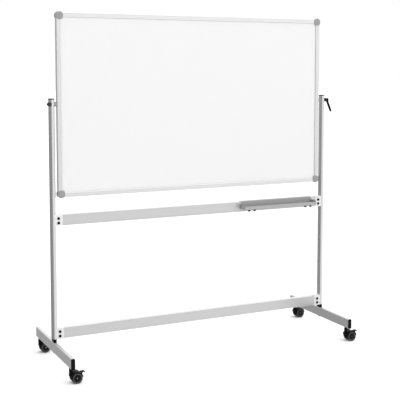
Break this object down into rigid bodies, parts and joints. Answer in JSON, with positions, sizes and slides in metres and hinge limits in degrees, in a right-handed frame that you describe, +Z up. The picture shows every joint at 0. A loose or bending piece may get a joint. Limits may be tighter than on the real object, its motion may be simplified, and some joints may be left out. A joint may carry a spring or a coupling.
{
  "type": "rolling whiteboard",
  "caption": "Double-sided whiteboard that turns over between the posts of a mobile stand, with a clamp lever, a pen tray on the crossbar and swivel castors.",
  "frame": {"origin": "on the floor, under the middle of the whole object's outline; the stand's middle plane is at x = -0.022 m because the clamp lever stands out to the right", "axes": "+Z up, the main writing side and the pen tray face -Y, the clamp lever is on the +X side"},
  "size_m": [1.64, 0.6, 1.747],
  "materials": {
    "enamel": "gloss white enamel on steel sheet",
    "core": "pressed board core, edges hidden in the frame",
    "frame_aluminium": "satin anodised",
    "bar_aluminium": "satin anodised",
    "cast_aluminium": "light silver lacquer on die-cast metal",
    "silver_paint": "satin silver powder coat on steel tube",
    "grey_plastic": "moulded grey plastic",
    "tray_plastic": "extruded grey plastic, satin",
    "black_plastic": "moulded black plastic, fine grain",
    "wheel_plastic": "moulded black polyamide wheels",
    "black_steel": "black zinc screw",
    "steel": "bright zinc"
  },
  "bodies": {
    "stand": {"post_left": "silver_paint", "post_plug_left": "black_plastic", "post_base_left": "black_plastic", "foot_left": "silver_paint", "foot_plugs_left": "black_plastic", "bar_bracket_upper_left": "cast_aluminium", "bar_bracket_lower_left": "cast_aluminium", "post_right": "silver_paint", "post_plug_right": "black_plastic", "post_base_right": "black_plastic", "foot_right": "silver_paint", "foot_plugs_right": "black_plastic", "bar_bracket_upper_right": "cast_aluminium", "bar_bracket_lower_right": "cast_aluminium", "upper_crossbar": "bar_aluminium", "lower_crossbar": "bar_aluminium", "crossbar_screws": "black_steel", "base_bolts": "steel", "castor_sockets": "black_plastic", "pivot_spacers": "grey_plastic", "pivot_saddle": "grey_plastic", "clamp_washer": "black_plastic"},
    "board": {"board_core": "core", "writing_sheet_front": "enamel", "writing_sheet_rear": "enamel", "frame_rail_bottom": "frame_aluminium", "frame_rail_left": "frame_aluminium", "frame_rail_top": "frame_aluminium", "frame_rail_right": "frame_aluminium", "corner_cap_bottom_left": "grey_plastic", "corner_cap_bottom_right": "grey_plastic", "corner_cap_top_left": "grey_plastic", "corner_cap_top_right": "grey_plastic", "frame_screws": "steel", "pivot_nuts": "steel", "pivot_bolt": "black_steel"},
    "clamp_stud": {"clamp_stud": "steel", "clamp_screw": "steel"},
    "clamp_lever": {"clamp_lever": "black_plastic"},
    "pen_tray": {"pen_tray": "tray_plastic", "tray_end_caps": "tray_plastic", "tray_screws": "black_plastic"},
    "castor_front_left": {"castor_housing_front_left": "black_plastic", "castor_stem_front_left": "steel", "castor_axle_front_left": "steel"},
    "wheels_front_left": {"castor_wheels_front_left": "wheel_plastic"},
    "pedal_front_left": {"brake_pedal_front_left": "black_plastic"},
    "castor_front_right": {"castor_housing_front_right": "black_plastic", "castor_stem_front_right": "steel", "castor_axle_front_right": "steel"},
    "wheels_front_right": {"castor_wheels_front_right": "wheel_plastic"},
    "pedal_front_right": {"brake_pedal_front_right": "black_plastic"},
    "castor_rear_left": {"castor_housing_rear_left": "black_plastic", "castor_stem_rear_left": "steel", "castor_axle_rear_left": "steel"},
    "wheels_rear_left": {"castor_wheels_rear_left": "wheel_plastic"},
    "castor_rear_right": {"castor_housing_rear_right": "black_plastic", "castor_stem_rear_right": "steel", "castor_axle_rear_right": "steel"},
    "wheels_rear_right": {"castor_wheels_rear_right": "wheel_plastic"}
  },
  "joints": [
    {"name": "board_pivot", "type": "hinge", "parent": "stand", "child": "board", "pos_m": [-0.022, 0, 1.3], "axis": [1, 0, 0], "continuous": true},
    {"name": "clamp_turn", "type": "hinge", "parent": "stand", "child": "clamp_stud", "pos_m": [0.778, 0, 1.3], "axis": [1, 0, 0], "range_deg": [0, 180]},
    {"name": "clamp_pull", "type": "slide", "parent": "clamp_stud", "child": "clamp_lever", "axis": [1, 0, 0], "range_m": [0, 0.004], "stiffness_N_per_m": 1500, "springref_m": -0.002},
    {"name": "tray_slide", "type": "slide", "parent": "stand", "child": "pen_tray", "axis": [1, 0, 0], "range_m": [-0.985, 0.022]},
    {"name": "castor_swivel_front_left", "type": "hinge", "parent": "stand", "child": "castor_front_left", "pos_m": [-0.798, -0.262, 0.08], "axis": [0, 0, 1], "continuous": true},
    {"name": "wheel_roll_front_left", "type": "hinge", "parent": "castor_front_left", "child": "wheels_front_left", "pos_m": [-0.773, -0.262, 0.026], "axis": [0, 1, 0], "continuous": true},
    {"name": "brake_pedal_front_left", "type": "hinge", "parent": "castor_front_left", "child": "pedal_front_left", "pos_m": [-0.748, -0.262, 0.047], "axis": [0, 1, 0], "range_deg": [0, 14]},
    {"name": "castor_swivel_front_right", "type": "hinge", "parent": "stand", "child": "castor_front_right", "pos_m": [0.754, -0.262, 0.08], "axis": [0, 0, 1], "continuous": true},
    {"name": "wheel_roll_front_right", "type": "hinge", "parent": "castor_front_right", "child": "wheels_front_right", "pos_m": [0.779, -0.262, 0.026], "axis": [0, 1, 0], "continuous": true},
    {"name": "brake_pedal_front_right", "type": "hinge", "parent": "castor_front_right", "child": "pedal_front_right", "pos_m": [0.804, -0.262, 0.047], "axis": [0, 1, 0], "range_deg": [0, 14]},
    {"name": "castor_swivel_rear_left", "type": "hinge", "parent": "stand", "child": "castor_rear_left", "pos_m": [-0.798, 0.262, 0.08], "axis": [0, 0, 1], "continuous": true},
    {"name": "wheel_roll_rear_left", "type": "hinge", "parent": "castor_rear_left", "child": "wheels_rear_left", "pos_m": [-0.773, 0.262, 0.026], "axis": [0, 1, 0], "continuous": true},
    {"name": "castor_swivel_rear_right", "type": "hinge", "parent": "stand", "child": "castor_rear_right", "pos_m": [0.754, 0.262, 0.08], "axis": [0, 0, 1], "continuous": true},
    {"name": "wheel_roll_rear_right", "type": "hinge", "parent": "castor_rear_right", "child": "wheels_rear_right", "pos_m": [0.779, 0.262, 0.026], "axis": [0, 1, 0], "continuous": true}
  ]
}
